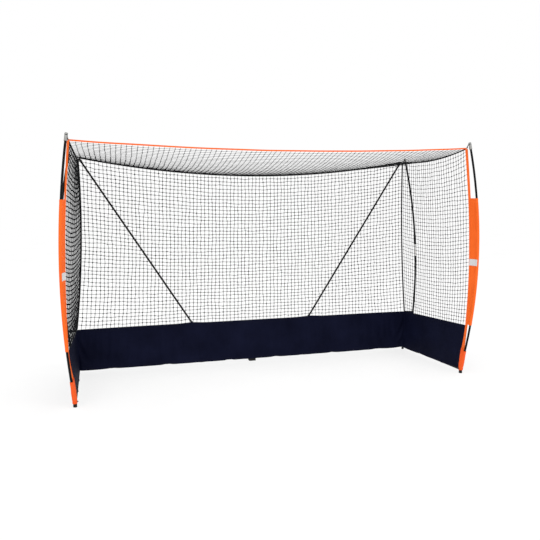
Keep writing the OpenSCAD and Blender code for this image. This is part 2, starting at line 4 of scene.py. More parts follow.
import bpy
import numpy as np
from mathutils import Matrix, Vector


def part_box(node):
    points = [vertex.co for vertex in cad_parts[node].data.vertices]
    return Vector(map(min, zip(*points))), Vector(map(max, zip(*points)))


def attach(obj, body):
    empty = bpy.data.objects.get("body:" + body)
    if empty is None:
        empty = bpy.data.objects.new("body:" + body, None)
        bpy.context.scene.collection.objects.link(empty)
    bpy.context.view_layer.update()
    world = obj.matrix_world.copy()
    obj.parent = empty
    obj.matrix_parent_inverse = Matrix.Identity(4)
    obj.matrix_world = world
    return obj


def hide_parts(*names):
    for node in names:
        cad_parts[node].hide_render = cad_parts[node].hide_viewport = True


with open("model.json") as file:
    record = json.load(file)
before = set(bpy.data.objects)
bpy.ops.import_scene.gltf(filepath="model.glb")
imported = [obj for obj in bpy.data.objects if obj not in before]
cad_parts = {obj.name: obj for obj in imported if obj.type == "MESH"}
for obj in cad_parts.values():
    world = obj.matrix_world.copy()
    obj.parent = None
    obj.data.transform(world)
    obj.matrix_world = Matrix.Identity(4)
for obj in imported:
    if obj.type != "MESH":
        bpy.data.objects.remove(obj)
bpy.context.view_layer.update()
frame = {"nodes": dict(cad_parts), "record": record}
rng = np.random.default_rng(12)

# ---- Places, in metres ----
# They are given from the line of the front feet, for the right side, and piece() moves them
# to the frame's own origin.


def middle(node):
    low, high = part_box(node)
    return np.array((low + high) / 2)


def vec(*xyz):
    return np.array(xyz, float)


FRONT_Y = middle("front_foot_right")[1]
POST_X = middle("front_foot_right")[0]
REAR_X = middle("rear_foot_right")[0]
DEPTH = middle("rear_foot_right")[1] - FRONT_Y
TUBE_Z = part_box("front_foot_right")[1].z + 0.0153
GOAL_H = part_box("crossbar_band")[1].z - 0.004
REAR_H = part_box("rear_bow_tip_right")[1].z - 0.0445
SKIRT_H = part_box("rear_skirt")[1].z - 0.009

ROD_R = 0.01
TUBE_R = 0.015
STAY_R = 0.009
STRAP_W = 0.024
REAR_CORD_R = 0.0062
ROOF_CORD_R = 0.0066
SEAM_CORD_R = 0.0076
TWINE_R = 0.0016
BAND_W = 0.024
BOW_R = 5.0
SLEEVE_LOW = 0.485
SLEEVE_HIGH = 1.71
SLEEVE_START = 0.2               # where along a band its sleeve and the side net start
SLEEVE_SPAN = 0.6                # part of a band that its sleeve takes up
SKIRT_FOOT = 0.031               # height of the rear skirt's lower edge
SKIRT_GROW = 0.014               # how much larger than its frame a skirt is cut

FRONT_MOUTH = vec(POST_X + 0.011, -0.012, 0.123)
FRONT_TIP = vec(POST_X - 0.002, -0.032, GOAL_H + 0.053)
FRONT_BULGE = vec(0.653, -0.757, 0)
FRONT_NOCK = 0.067
REAR_MOUTH = vec(REAR_X + 0.032, DEPTH - 0.093, 0.134)
REAR_TIP = vec(REAR_X + 0.014, DEPTH + 0.077, REAR_H + 0.044)
REAR_BULGE = vec(1, 0, 0)
REAR_NOCK = 0.045
NOCK_GROOVE = 0.01875        # from the top of a tip down to its groove
STAY_FOOT = vec(0.395, DEPTH, TUBE_Z + 0.024)
STAY_TOP = vec(REAR_X - 0.076, DEPTH + 0.014, REAR_H - 0.014)

NET_FRONT = vec(POST_X - 0.012, 0, GOAL_H)
NET_REAR = vec(REAR_X - 0.061, DEPTH - 0.015, REAR_H)
NET_FOOT = vec(REAR_X - 0.003, DEPTH - 0.024, SKIRT_H + 0.004)
SKIRT_Y = DEPTH - 0.024
BAND_SPINE = [
    NET_FRONT + vec(0.024, -0.003, 0.221 - GOAL_H),
    NET_FRONT + vec(0.056, -0.010, SLEEVE_LOW - GOAL_H),
    NET_FRONT + vec(0.060, -0.030, 0.9 - GOAL_H),
    NET_FRONT + vec(0.054, -0.030, 1.3 - GOAL_H),
    NET_FRONT + vec(0.036, -0.020, SLEEVE_HIGH - GOAL_H),
    NET_FRONT + vec(0, 0, -0.007),
]
END_WAY = vec(0.74, -0.67, 0)    # direction of a front band's width at its ends
MID_WAY = vec(0.45, -0.89, 0)    # and at the middle of the sleeve
UP = vec(0, 0, 1)

COLUMNS = 90                     # meshes across the rear net
ROWS = 43                        # meshes from the skirt to the roof
SIDE_COLUMNS = 29                # meshes across a side net
ROOF_COLUMNS = 81                # meshes across the roof
ROOF_ROWS = 27                   # meshes from the front to the back of the roof


# ---- Curves ----


def unit(v):
    return v / np.linalg.norm(v, axis=-1, keepdims=True)


def level_way(v):
    """Direction of v as seen from above."""
    return unit(v * vec(1, 1, 0))


def flip(p):
    return p * vec(-1, 1, 1)


def steps(n):
    return np.linspace(0, 1, n + 1)[:, None]


def hung(a, b, bow, t):
    return a + (b - a) * t + 4 * t * (1 - t) * bow


def smooth(t):
    t = np.clip(t, 0, 1)
    return t * t * (3 - 2 * t)


def spline(points, t):
    """Smooth curve through the points, for t from 0 to 1."""
    p = np.array(points)
    n = len(p) - 1
    t = np.asarray(t, float).reshape(-1)
    s = np.clip((t * n).astype(int), 0, n - 1)
    f = (t * n - s)[:, None]
    a, b, c, d = p[np.maximum(s - 1, 0)], p[s], p[s + 1], p[np.minimum(s + 2, n)]
    return 0.5 * (2 * b + (c - a) * f + (2 * a - 5 * b + 4 * c - d) * f**2
                  + (3 * b - a - 3 * c + d) * f**3)


def lengths(path):
    """How far along a path each of its points is."""
    return np.concatenate([[0], np.cumsum(np.linalg.norm(np.diff(path, axis=0), axis=1))])


def points_at(path, at):
    along = lengths(path)
    return np.stack([np.interp(at, along, path[:, k]) for k in range(3)], axis=1)


def resample(path, spacing):
    """The path again, with points a spacing apart."""
    total = lengths(path)[-1]
    return points_at(path, np.linspace(0, total, max(2, int(round(total / spacing)) + 1)))


def ripple(p, length, seed, waves=7):
    """Smooth noise from -1 to 1 at the points, with features about that length."""
    r = np.random.default_rng(seed)
    total = np.zeros(p.shape[:-1])
    for _ in range(waves):
        way = unit(r.standard_normal(3)) * 2 * math.pi / (length * r.uniform(0.7, 1.6))
        total += np.sin(p @ way + r.uniform(0, 7))
    return total / math.sqrt(waves) / 1.4


def bow_frame(mouth, tip, bulge):
    chord = np.linalg.norm(tip - mouth)
    up = (tip - mouth) / chord
    out = unit(bulge - (bulge @ up) * up)
    return chord, up, out


def bow_at(bow, z):
    """Points on the axis of a bow at the heights z."""
    mouth = bow[0]
    chord, up, out = bow_frame(*bow)
    half = math.asin(chord / 2 / BOW_R)
    turn = np.arcsin(((np.asarray(z) - mouth[2]) / up[2] - chord / 2) / BOW_R)[..., None]
    return mouth + up * (chord / 2 + BOW_R * np.sin(turn)) + out * BOW_R * (
        np.cos(turn) - math.cos(half))


def nock_of(bow, length):
    """Middle of a tip's groove, and the direction of the rod there."""
    mouth = bow[0]
    chord, up, out = bow_frame(*bow)
    half = math.asin(chord / 2 / BOW_R)
    top = half - length / BOW_R
    way = up * math.cos(top) - out * math.sin(top)
    root = mouth + up * (chord / 2 + BOW_R * math.sin(top)) + out * BOW_R * (
        math.cos(top) - math.cos(half))
    return root + way * (length - NOCK_GROOVE), way


FRONT_BOW = (FRONT_MOUTH, FRONT_TIP, FRONT_BULGE)
REAR_BOW = (REAR_MOUTH, REAR_TIP, REAR_BULGE)


def band_across(t):
    turn = np.sin(math.pi * np.clip(np.asarray(t, float).reshape(-1, 1), 0, 1))
    return unit(END_WAY + (MID_WAY - END_WAY) * turn)


def band_line(t, shift=0.0):
    return spline(BAND_SPINE, t) + band_across(t) * shift


def band_outer(t):
    """How far a band's outer edge is from its spine: it flares towards the sock."""
    return (BAND_W / 2 + 0.0065 * np.maximum(0, 1 - np.asarray(t) / 0.14))[:, None]


def crossbar_line(t):
    end = NET_FRONT + vec(-0.016, 0, -0.002)
    return hung(flip(end), end, vec(0, 0.028, -0.050), t)


def rear_line(t):
    return hung(flip(NET_REAR), NET_REAR, vec(0, -0.020, -0.160), t)


def roof_line(t):
    return hung(NET_FRONT + vec(0, 0.004, -0.004), NET_REAR, vec(-0.016, 0, -0.052), t)


def seam_line(t):
    return hung(NET_FOOT, NET_REAR, vec(-0.034, -0.025, 0), t)


def tie_x():
    """How far out the skirt is tied to a stay."""
    part = (SKIRT_H + 0.004 - STAY_FOOT[2]) / (STAY_TOP[2] - STAY_FOOT[2])
    return STAY_FOOT[0] + part * (STAY_TOP[0] - STAY_FOOT[0])


def rear_skirt_top(x):
    """Height of the rear skirt's top edge, which the ties lift a little."""
    lift = 0.008 * np.exp(-((np.abs(x) - tie_x()) / 0.10) ** 2)
    return SKIRT_H - 0.004 + lift


REAR_LOW = vec(REAR_X - 0.024, SKIRT_Y - 0.004, SKIRT_FOOT)  # where rear and side skirts meet
REAR_TOP = vec(REAR_X - 0.005, SKIRT_Y - 0.002, SKIRT_H - 0.004)


def skirt_front(v):
    """Front edge of the side skirt, which follows the sock and is then sewn to the band."""
    upper = band_line([0.086, 0.195], 0.001 - BAND_W / 2)
    return spline([vec(POST_X - 0.019, 0.0135, 0.046), vec(POST_X - 0.0025, 0.0065, 0.19), *upper], v)


SIDE_TOP = (skirt_front([1.0])[0], REAR_TOP)


# ---- Meshes ----
# A part is (points, quads, uv of each quad's corners in metres).


def loft(rings, closed=False, caps=True):
    """Skin over rings of points. Each ring runs anticlockwise about the path, and has an
    even number of points: half up one face and half back down the other."""
    m, k = rings.shape[:2]
    gaps = np.linalg.norm(np.roll(rings, -1, axis=1) - rings, axis=2)
    around = np.concatenate([np.zeros((m, 1)), np.cumsum(gaps, axis=1)], axis=1)
    ahead = np.roll(rings, -1, axis=0) if closed else rings[1:]
    gone = np.linalg.norm(ahead - rings[:len(ahead)], axis=2).mean(axis=1)
    along = np.concatenate([[0], np.cumsum(gone)])
    i, j = np.meshgrid(np.arange(len(ahead)), np.arange(k), indexing="ij")
    corners, uv = [], []
    for di, dj in ((0, 0), (0, 1), (1, 1), (1, 0)):
        corners.append((i + di) % m * k + (j + dj) % k)
        uv.append(np.stack([around[(i + di) % m, j + dj], along[i + di]], axis=2))
    quads = np.stack(corners, axis=2).reshape(-1, 4)
    uv = np.stack(uv, axis=2).reshape(-1, 4, 2)
    if caps and not closed:
        j = np.arange(k // 2 - 1)
        lid = np.stack([j, j + 1, k - 2 - j, k - 1 - j], axis=1)
        quads = np.concatenate([quads, lid[:, ::-1], lid + (m - 1) * k])
        flat = np.stack([around[0][lid], np.zeros(lid.shape)], axis=2)
        uv = np.concatenate([uv, flat[:, ::-1], flat])
    return rings.reshape(-1, 3), quads, uv


def join(parts):
    shift, points, quads, uv = 0, [], [], []
    for p, q, t in parts:
        points.append(p)
        quads.append(q + shift)
        uv.append(t)
        shift += len(p)
    return np.concatenate(points), np.concatenate(quads), np.concatenate(uv)


def mirror(part):
    points, quads, uv = part
    return flip(points), quads[:, ::-1], uv[:, ::-1]


SIDES = (("right", lambda part: part), ("left", mirror))


def tubes(lines, radius, sides, hint):
    """Round tubes along many lines at once; lines is (lines, points, 3)."""
    way = unit(np.gradient(lines, axis=1))
    a = unit(np.cross(way, hint))
    b = np.cross(way, a)
    turn = 2 * math.pi * np.arange(sides) / sides
    radius = np.broadcast_to(radius, lines.shape[:2])[..., None, None]
    spokes = np.cos(turn)[:, None] * a[:, :, None] + np.sin(turn)[:, None] * b[:, :, None]
    rings = lines[:, :, None] + radius * spokes
    return copies(loft(rings[0]), rings)


def loop_rings(path, radius, sides):
    """Rings of points round a closed path."""
    way = unit(np.roll(path, -1, axis=0) - np.roll(path, 1, axis=0))
    a = unit(np.cross(way, UP))
    b = np.cross(way, a)
    turn = 2 * math.pi * np.arange(sides)[:, None] / sides
    return path[:, None] + radius * (np.cos(turn) * a[:, None] + np.sin(turn) * b[:, None])


def copies(part, placed):
    """The same part many times over, with the points of every copy given."""
    points, quads, uv = part
    n = len(placed)
    shift = (np.arange(n) * len(points))[:, None, None]
    return placed.reshape(-1, 3), (quads[None] + shift).reshape(-1, 4), np.tile(uv, (n, 1, 1))


PROFILE = np.array([(0.5, 0.2), (0.46, 0.5), (0.38, 0.34), (-0.38, 0.34), (-0.46, 0.5), (-0.5, 0.2),
                    (-0.5, -0.2), (-0.46, -0.5), (-0.38, -0.34), (0.38, -0.34), (0.46, -0.5), (0.5, -0.2)])


def ribbon(path, across, width, thick):
    """Webbing along a path, with raised edges; across is the direction of its width."""
    way = unit(np.gradient(path, axis=0))
    face = unit(np.cross(way, np.broadcast_to(across, path.shape)))
    side = np.cross(face, way) * np.broadcast_to(width, (len(path), 1))
    rings = (path[:, None] + side[:, None] * PROFILE[:, 0][:, None]
             + face[:, None] * PROFILE[:, 1][:, None] * thick)
    return loft(rings[:, ::-1])


def sheet_of(grid, thick):
    """Closed sheet over a grid of points; thick is one number or one for each point."""
    normal = unit(np.cross(np.gradient(grid, axis=0), np.gradient(grid, axis=1)))
    half = normal * np.broadcast_to(thick, grid.shape[:2])[..., None] / 2
    return loft(np.concatenate([grid - half, (grid + half)[:, ::-1]], axis=1))


def rope(path, radius, lay, hint, strands=3):
    """Strands laid round each other along a path."""
    path = resample(path, lay / 8)
    way = unit(np.gradient(path, axis=0))
    a = unit(np.cross(way, hint))
    b = np.cross(way, a)
    gone = lengths(path)
    laid = []
    for k in range(strands):
        turn = 2 * math.pi * (gone / lay + k / strands)[:, None]
        laid.append(path + radius * 0.5 * (np.cos(turn) * a + np.sin(turn) * b))
    return tubes(np.stack(laid), radius * 0.56, 6, hint)


def whipping(path, radius, pitch, hint):
    """Thin twine wound round a cord to bind it."""
    path = resample(path, pitch / 9)
    way = unit(np.gradient(path, axis=0))
    a = unit(np.cross(way, hint))
    b = np.cross(way, a)
    turn = 2 * math.pi * np.arange(len(path))[:, None] / 9
    return tubes((path + radius * (np.cos(turn) * a + np.sin(turn) * b))[None], 0.0011, 4, hint)


def stitches(path, face, pitch=0.007, length=0.0048, radius=0.00045, about=False):
    """Row of thread stitches along a path; face is the cloth's outward direction, or the
    point that the row goes about."""
    points = resample(path, pitch)
    way = unit(np.gradient(points, axis=0))
    face = unit(points - face) if about else np.broadcast_to(face, points.shape)
    rise = face * radius * 0.8
    lines = np.stack([points - way * length / 2 - rise, points - way * length / 4 + rise,
                      points + way * length / 4 + rise, points + way * length / 2 - rise], axis=1)
    return tubes(lines, radius, 4, np.cross(way, face)[:, None])


def teardrop(centre, root, axis, radius, spread=0.0015, n=22):
    """Path from a root, round a post, and back to the root."""
    away = root - centre
    level = away - (away @ axis) * axis
    way = unit(level)
    side = np.cross(axis, way)
    start = math.acos(radius / np.linalg.norm(level))
    turn = np.linspace(start, 2 * math.pi - start, n)[:, None]
    arc = centre + radius * (np.cos(turn) * way + np.sin(turn) * side)
    return np.concatenate([[root + side * spread], arc, [root - side * spread]])


def new_object(name, data):
    obj = bpy.data.objects.new(name, data)
    bpy.context.scene.collection.objects.link(obj)
    return obj


def piece(name, parts, slot, replaces=(), look=None):
    """Makes one piece of the goal from its parts, and lets it ride on the frame. Its look is
    its slot's, unless another one is given."""
    points, quads, uv = join(parts)
    mesh = bpy.data.meshes.new(name)
    mesh.vertices.add(len(points))
    mesh.loops.add(quads.size)
    mesh.polygons.add(len(quads))
    mesh.vertices.foreach_set("co", (points + vec(0, FRONT_Y, 0)).astype(np.float32).ravel())
    mesh.loops.foreach_set("vertex_index", quads.astype(np.int32).ravel())
    mesh.polygons.foreach_set("loop_start", np.arange(0, quads.size, 4, dtype=np.int32))
    mesh.update(calc_edges=True)
    layer = mesh.uv_layers.new(name="metres")
    layer.data.foreach_set("uv", uv.astype(np.float32).ravel())
    mesh.shade_smooth()
    mesh.set_sharp_from_angle(angle=math.radians(40))
    mesh.materials.append(look or LOOKS[slot])
    obj = new_object(name, mesh)
    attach(obj, "frame")
    if replaces:
        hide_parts(*replaces)
    return obj


# ---- Materials ----


def make(name, roughness, metallic=0.0, specular=0.5):
    material = bpy.data.materials.new(name)
    material.use_nodes = True
    tree = material.node_tree
    shader = tree.nodes["Principled BSDF"]
    shader.inputs["Roughness"].default_value = roughness
    shader.inputs["Metallic"].default_value = metallic
    shader.inputs["Specular IOR Level"].default_value = specular
    return material, tree, shader


def add(tree, kind, inputs=None, **settings):
    node = tree.nodes.new("ShaderNode" + kind)
    for key, value in settings.items():
        setattr(node, key, value)
    for key, value in (inputs or {}).items():
        if isinstance(value, bpy.types.NodeSocket):
            tree.links.new(value, node.inputs[key])
        else:
            node.inputs[key].default_value = value
    return node


def maths(tree, operation, a, b=None):
    inputs = {0: a} if b is None else {0: a, 1: b}
    return add(tree, "Math", inputs, operation=operation).outputs[0]


def place(tree, scale=(1, 1, 1)):
    coordinate = add(tree, "TexCoord").outputs["Object"]
    return add(tree, "Mapping", {"Vector": coordinate, "Scale": scale}).outputs["Vector"]


def noise(tree, where, scale, detail=3.0, roughness=0.55):
    inputs = {"Vector": where, "Scale": scale, "Detail": detail, "Roughness": roughness}
    return add(tree, "TexNoise", inputs).outputs["Fac"]


def ramp(tree, fac, low, high, start=0.3, end=0.7):
    node = add(tree, "ValToRGB", {"Fac": fac})
    node.color_ramp.elements[0].position = start
    node.color_ramp.elements[1].position = end
    node.color_ramp.elements[0].color = (*low, 1)
    node.color_ramp.elements[1].color = (*high, 1)
    return node.outputs["Color"]


def grey(tree, fac, low, high, start=0.3, end=0.7):
    return ramp(tree, fac, (low,) * 3, (high,) * 3, start, end)


def tint(tree, shader, fac, low, high, start=0.3, end=0.7):
    tree.links.new(ramp(tree, fac, low, high, start, end), shader.inputs["Base Color"])


def bumps(tree, shader, *layers):
    """Height layers on top of each other: (height, strength, distance in metres)."""
    normal = None
    for height, strength, distance in layers:
        inputs = {"Height": height, "Strength": strength, "Distance": distance}
        if normal is not None:
            inputs["Normal"] = normal
        normal = add(tree, "Bump", inputs).outputs["Normal"]
    tree.links.new(normal, shader.inputs["Normal"])


def weave_height(tree, pitch_u, pitch_v):
    """Plain weave: threads pass over and under each other at the pitches, in metres."""
    parts = add(tree, "SeparateXYZ", {0: add(tree, "TexCoord").outputs["UV"]})
    a = maths(tree, "SINE", maths(tree, "MULTIPLY", parts.outputs[0], math.pi / pitch_u))
    b = maths(tree, "SINE", maths(tree, "MULTIPLY", parts.outputs[1], math.pi / pitch_v))
    over = maths(tree, "GREATER_THAN", maths(tree, "MULTIPLY", a, b), 0.0)
    mixed = add(tree, "Mix", {0: over, 2: maths(tree, "ABSOLUTE", a), 3: maths(tree, "ABSOLUTE", b)})
    return mixed.outputs[0]


def cloth(name, low, high, pitch_u, pitch_v, roughness, depth, specular, sheen=0.0):
    """Woven cloth: threads, a slightly uneven surface, and slow changes of shade."""
    material, tree, shader = make(name, roughness, 0.0, specular)
    where = place(tree)
    slow = noise(tree, where, 3.5, 5.0)
    fine = noise(tree, where, 900.0, 2.0)
    mottled = maths(tree, "ADD", maths(tree, "MULTIPLY", slow, 0.75), maths(tree, "MULTIPLY", fine, 0.25))
    tint(tree, shader, mottled, low, high)
    tree.links.new(grey(tree, noise(tree, where, 40.0), roughness - 0.08, roughness + 0.08),
                   shader.inputs["Roughness"])
    shader.inputs["Sheen Weight"].default_value = sheen
    shader.inputs["Sheen Roughness"].default_value = 0.4
    bumps(tree, shader, (noise(tree, where, 60.0, 4.0), 0.25, 0.002),
          (weave_height(tree, pitch_u, pitch_v), 0.55, depth))
    return material


def twine(name, low, high, roughness=0.8):
    """Twisted fibre: fine strands at an angle, and shade that changes from place to place."""
    material, tree, shader = make(name, roughness, 0.0, 0.1)
    where = place(tree)
    fibres = add(tree, "TexWave", {"Vector": where, "Scale": 260.0, "Distortion": 2.5, "Detail": 2.0},
                 bands_direction="DIAGONAL").outputs["Fac"]
    tint(tree, shader, noise(tree, where, 55.0, 4.0), low, high, 0.35, 0.65)
    bumps(tree, shader, (fibres, 0.6, 0.0006), (noise(tree, where, 1500.0), 0.3, 0.0003))
    return material


def powder_coat(name):
    """Black powder coat: orange peel and a few scuffs."""
    material, tree, shader = make(name, 0.42, 0.0, 0.25)
    where = place(tree)
    scuffs = noise(tree, place(tree, scale=(1, 1, 6)), 18.0, 8.0, 0.7)
    tint(tree, shader, scuffs, (0.010, 0.010, 0.011), (0.035, 0.035, 0.036), 0.5, 0.8)
    tree.links.new(grey(tree, scuffs, 0.34, 0.62, 0.4, 0.8), shader.inputs["Roughness"])
    bumps(tree, shader, (noise(tree, where, 700.0, 2.0), 0.25, 0.0006))
    return material


def rubber(name):
    """Moulded rubber: matt, slightly grained, greyed by dust lower down."""
    material, tree, shader = make(name, 0.75, 0.0, 0.15)
    where = place(tree)
    height = add(tree, "SeparateXYZ", {0: add(tree, "TexCoord").outputs["Object"]}).outputs[2]
    dust = maths(tree, "MULTIPLY", maths(tree, "SUBTRACT", 1.0, maths(tree, "MULTIPLY", height, 45.0)),
                 noise(tree, where, 120.0, 5.0))
    tint(tree, shader, dust, (0.012, 0.012, 0.012), (0.06, 0.056, 0.05), 0.25, 0.9)
    bumps(tree, shader, (noise(tree, where, 1100.0, 3.0), 0.5, 0.0006))
    return material


def fibreglass(name):
    """Black pultruded rod: glossy resin over fibres that run along it."""
    material, tree, shader = make(name, 0.38, 0.0, 0.06)
    streaks = noise(tree, place(tree, scale=(1, 1, 0.02)), 900.0, 4.0, 0.7)
    tint(tree, shader, streaks, (0.003, 0.003, 0.0034), (0.010, 0.010, 0.011))
    tree.links.new(grey(tree, noise(tree, place(tree), 30.0, 6.0), 0.26, 0.46), shader.inputs["Roughness"])
    bumps(tree, shader, (streaks, 0.2, 0.0004))
    return material


def bare_metal(name, low, high, roughness, ring_scale):
    """Turned metal: fine rings from the tool, and slight smears."""
    material, tree, shader = make(name, roughness, 1.0)
    where = place(tree)
    rings = add(tree, "TexWave", {"Vector": where, "Scale": ring_scale, "Distortion": 0.4, "Detail": 2.0},
                bands_direction="Z").outputs["Fac"]
    smears = noise(tree, where, 26.0, 6.0, 0.65)
    tint(tree, shader, smears, low, high)
    tree.links.new(grey(tree, smears, roughness - 0.07, roughness + 0.14), shader.inputs["Roughness"])
    bumps(tree, shader, (rings, 0.25, 0.0003))
    return material


LOOKS = {
    "base_steel": powder_coat("powder_coat"),
    "rubber_foot": rubber("rubber"),
    "button_metal": bare_metal("plated_steel", (0.46, 0.46, 0.47), (0.6, 0.6, 0.61), 0.2, 900.0),
    "spring_steel": bare_metal("spring_steel", (0.24, 0.25, 0.27), (0.36, 0.37, 0.39), 0.3, 300.0),
    "bare_aluminium": bare_metal("turned_aluminium", (0.22, 0.22, 0.21), (0.36, 0.36, 0.35), 0.35, 420.0),
    "satin_ferrule": bare_metal("satin_aluminium", (0.60, 0.60, 0.59), (0.78, 0.78, 0.77), 0.5, 420.0),
    "black_rod": fibreglass("fibreglass"),
    "net_twine": twine("net_twine", (0.003, 0.0033, 0.004), (0.010, 0.0105, 0.012)),
    "skirt_fabric": cloth("skirt_cloth", (0.0021, 0.0027, 0.0105), (0.0060, 0.0074, 0.0235),
                          0.0016, 0.0016, 0.62, 0.0004, 0.035),
    "orange_band": cloth("orange_webbing", (0.88, 0.140, 0.016), (0.98, 0.175, 0.028),
                         0.0022, 0.0030, 0.6, 0.0008, 0.1),
    "orange_sleeve": cloth("orange_cloth", (0.88, 0.128, 0.014), (0.98, 0.160, 0.022),
                           0.0012, 0.0012, 0.6, 0.0004, 0.1),
    # Partly painted shade: the socks are the sleeve's orange cloth, copied darker to stand for shade and a
    # little redder in hue
    "orange_sock_painted_shade": cloth("sock_cloth", (0.80, 0.092, 0.014), (0.90, 0.116, 0.022),
                         0.0012, 0.0012, 0.6, 0.0004, 0.1),
    "white_patch": cloth("white_cloth", (0.60, 0.60, 0.60), (0.72, 0.72, 0.72),
                         0.0009, 0.0009, 0.6, 0.0003, 0.2, 0.05),
    "black_cord": cloth("black_casing", (0.002, 0.002, 0.0025), (0.006, 0.006, 0.007),
                        0.0010, 0.0010, 0.7, 0.0003, 0.05),
}
ORANGE_THREAD = twine("orange_thread", (0.75, 0.08, 0.007), (0.95, 0.13, 0.015), 0.6)
BLACK_THREAD = twine("black_thread", (0.008, 0.008, 0.011), (0.018, 0.018, 0.023), 0.6)
WHITE_THREAD = twine("white_thread", (0.55, 0.55, 0.54), (0.75, 0.75, 0.74), 0.6)


def dress_cad_nodes():
    slots = {row["node"]: row["material_slot"] for row in frame["record"]["subparts"]}
    for name, obj in frame["nodes"].items():
        obj.data.materials.clear()
        obj.data.materials.append(LOOKS["satin_ferrule" if "ferrule" in name else slots[name]])


# ---- Net ----


def patch(low, high, near, far):
    """Points of a surface between four edges: low and high run with u, near and far with v."""
    u = steps(len(low) - 1)[:, None]
    v = steps(len(near) - 1)[None]
    across = (1 - v) * low[:, None] + v * high[:, None]
    up = (1 - u) * near[None] + u * far[None]
    corners = (1 - u) * ((1 - v) * low[0] + v * high[0]) + u * ((1 - v) * low[-1] + v * high[-1])
    return across + up - corners


def settle_net(p, weight, uneven, rounds=260, speed=1.8):
    """Every knot moves to where its four twines, each pulling a little differently, carry it."""
    nu, nv = p.shape[:2]
    pull_u = 1 + uneven * (rng.standard_normal((1, nv)) + 1.6 * rng.standard_normal((nu - 1, nv)))
    pull_v = 1 + uneven * (rng.standard_normal((nu, 1)) + 1.6 * rng.standard_normal((nu, nv - 1)))
    pull_u, pull_v = np.clip(pull_u, 0.4, 2)[..., None], np.clip(pull_v, 0.4, 2)[..., None]
    before, after = pull_u[:-1, 1:-1], pull_u[1:, 1:-1]
    under, over = pull_v[1:-1, :-1], pull_v[1:-1, 1:]
    total = before + after + under + over
    i, j = np.meshgrid(np.arange(1, nu - 1), np.arange(1, nv - 1), indexing="ij")
    turns = [((i + j) % 2 == k)[..., None] for k in (0, 1)]
    for n in range(rounds):
        new = (before * p[:-2, 1:-1] + after * p[2:, 1:-1] + under * p[1:-1, :-2]
               + over * p[1:-1, 2:] - weight * UP) / total
        inside = p[1:-1, 1:-1]
        p[1:-1, 1:-1] = np.where(turns[n % 2], inside + speed * (new - inside), inside)
    return p


def twine_lines(p, radius):
    """Twine along every row and column of knots, not quite straight from knot to knot."""
    parts = []
    normal = unit(np.cross(p[-1, 0] - p[0, 0], p[0, -1] - p[0, 0]))
    for grid in (p[:, 1:-1].transpose(1, 0, 2), p[1:-1]):
        n, m = grid.shape[:2]
        lines = np.empty((n, 2 * m - 1, 3))
        lines[:, ::2] = grid
        slack = 0.0007 * rng.standard_normal((n, m - 1, 3)) - 0.0004 * UP
        lines[:, 1::2] = (grid[:, 1:] + grid[:, :-1]) / 2 + slack
        parts.append(tubes(lines, radius, 6, normal))
    return parts


def knot_ring(size=0.0016, radius=0.0021, points=12, sides=4):
    """A closed overhand knot, as rings of points round its path."""
    t = 2 * math.pi * np.arange(points)[:, None] / points
    path = size * np.concatenate([np.sin(t) + 2 * np.sin(2 * t), np.cos(t) - 2 * np.cos(2 * t),
                                  -1.1 * np.sin(3 * t)], axis=1)
    return loop_rings(path, radius, sides)


def knots(p, size):
    """A knot at every crossing inside the net, each turned its own way in the net's plane."""
    rings = knot_ring() * size
    part = loft(rings, closed=True)
    a = unit(p[2:, 1:-1] - p[:-2, 1:-1]).reshape(-1, 3)
    n = unit(np.cross(a, (p[1:-1, 2:] - p[1:-1, :-2]).reshape(-1, 3)))
    n = unit(n + 0.25 * rng.standard_normal(n.shape))
    a = unit(a - (a * n).sum(1, keepdims=True) * n)
    b = np.cross(n, a)
    turn = rng.uniform(0, 2 * math.pi, (len(n), 1))
    x = np.cos(turn) * a + np.sin(turn) * b
    axes = np.stack([x, np.cross(n, x), n], axis=1) * rng.uniform(0.9, 1.15, (len(n), 1, 1))
    return copies(part, part[0][None] @ axes + p[1:-1, 1:-1].reshape(-1, 1, 3))


def roof_grid():
    front = crossbar_line(steps(ROOF_COLUMNS)) + vec(0, 0.001, -0.005)
    side = roof_line(steps(ROOF_ROWS))
    side[0] = front[-1]
    rear = rear_line(steps(ROOF_COLUMNS))
    return settle_net(patch(front, rear, flip(side), side), 0.00066, 0.05)


def rear_grid():
    x = np.linspace(-NET_FOOT[0] + 0.004, NET_FOOT[0] - 0.004, COLUMNS + 1)
    low = np.stack([x, np.full_like(x, SKIRT_Y), rear_skirt_top(x) - 0.006], axis=1)
    side = seam_line(steps(ROWS))
    side[0] = low[-1]
    return settle_net(patch(low, rear_line(steps(COLUMNS)), flip(side), side), 0.00012, 0.09)


def side_grid():
    """The right side net, from front to back and from the skirt up."""
    low = SIDE_TOP[0] + (SIDE_TOP[1] - SIDE_TOP[0]) * steps(SIDE_COLUMNS) - vec(0, 0, 0.006)
    front = band_line(SLEEVE_START + (1 - SLEEVE_START) * steps(ROWS), 0.002 - BAND_W / 2)
    front[0] = low[0]
    rear = seam_line(steps(ROWS))
    rear[0] = low[-1]
    roof = roof_line(steps(SIDE_COLUMNS))
    front[-1], rear[-1] = roof[0], roof[-1]
    return settle_net(patch(low, roof, front, rear), 0.00055, 0.09)


def make_nets():
    for name, grid, pieces, size in (("roof_net", roof_grid(), 2, 0.88),
                                     ("rear_net", rear_grid(), 3, 1.12)):
        piece(name + "_twine", twine_lines(grid, TWINE_R * size), "net_twine", [name])
        for k in range(pieces):
            first, last = (len(grid) * n // pieces for n in (k, k + 1))
            part = knots(grid[max(first - 1, 0):last + 1], size)
            piece("%s_knots_%d" % (name, k + 1), [part], "net_twine", [name])
    grid = side_grid()
    for side, turn in SIDES:
        name = "side_net_" + side
        lines = [turn(part) for part in twine_lines(grid, TWINE_R)]
        piece(name + "_twine", lines, "net_twine", [name])
        piece(name + "_knots", [turn(knots(grid, 1.0))], "net_twine", [name])


# ---- Cords ----


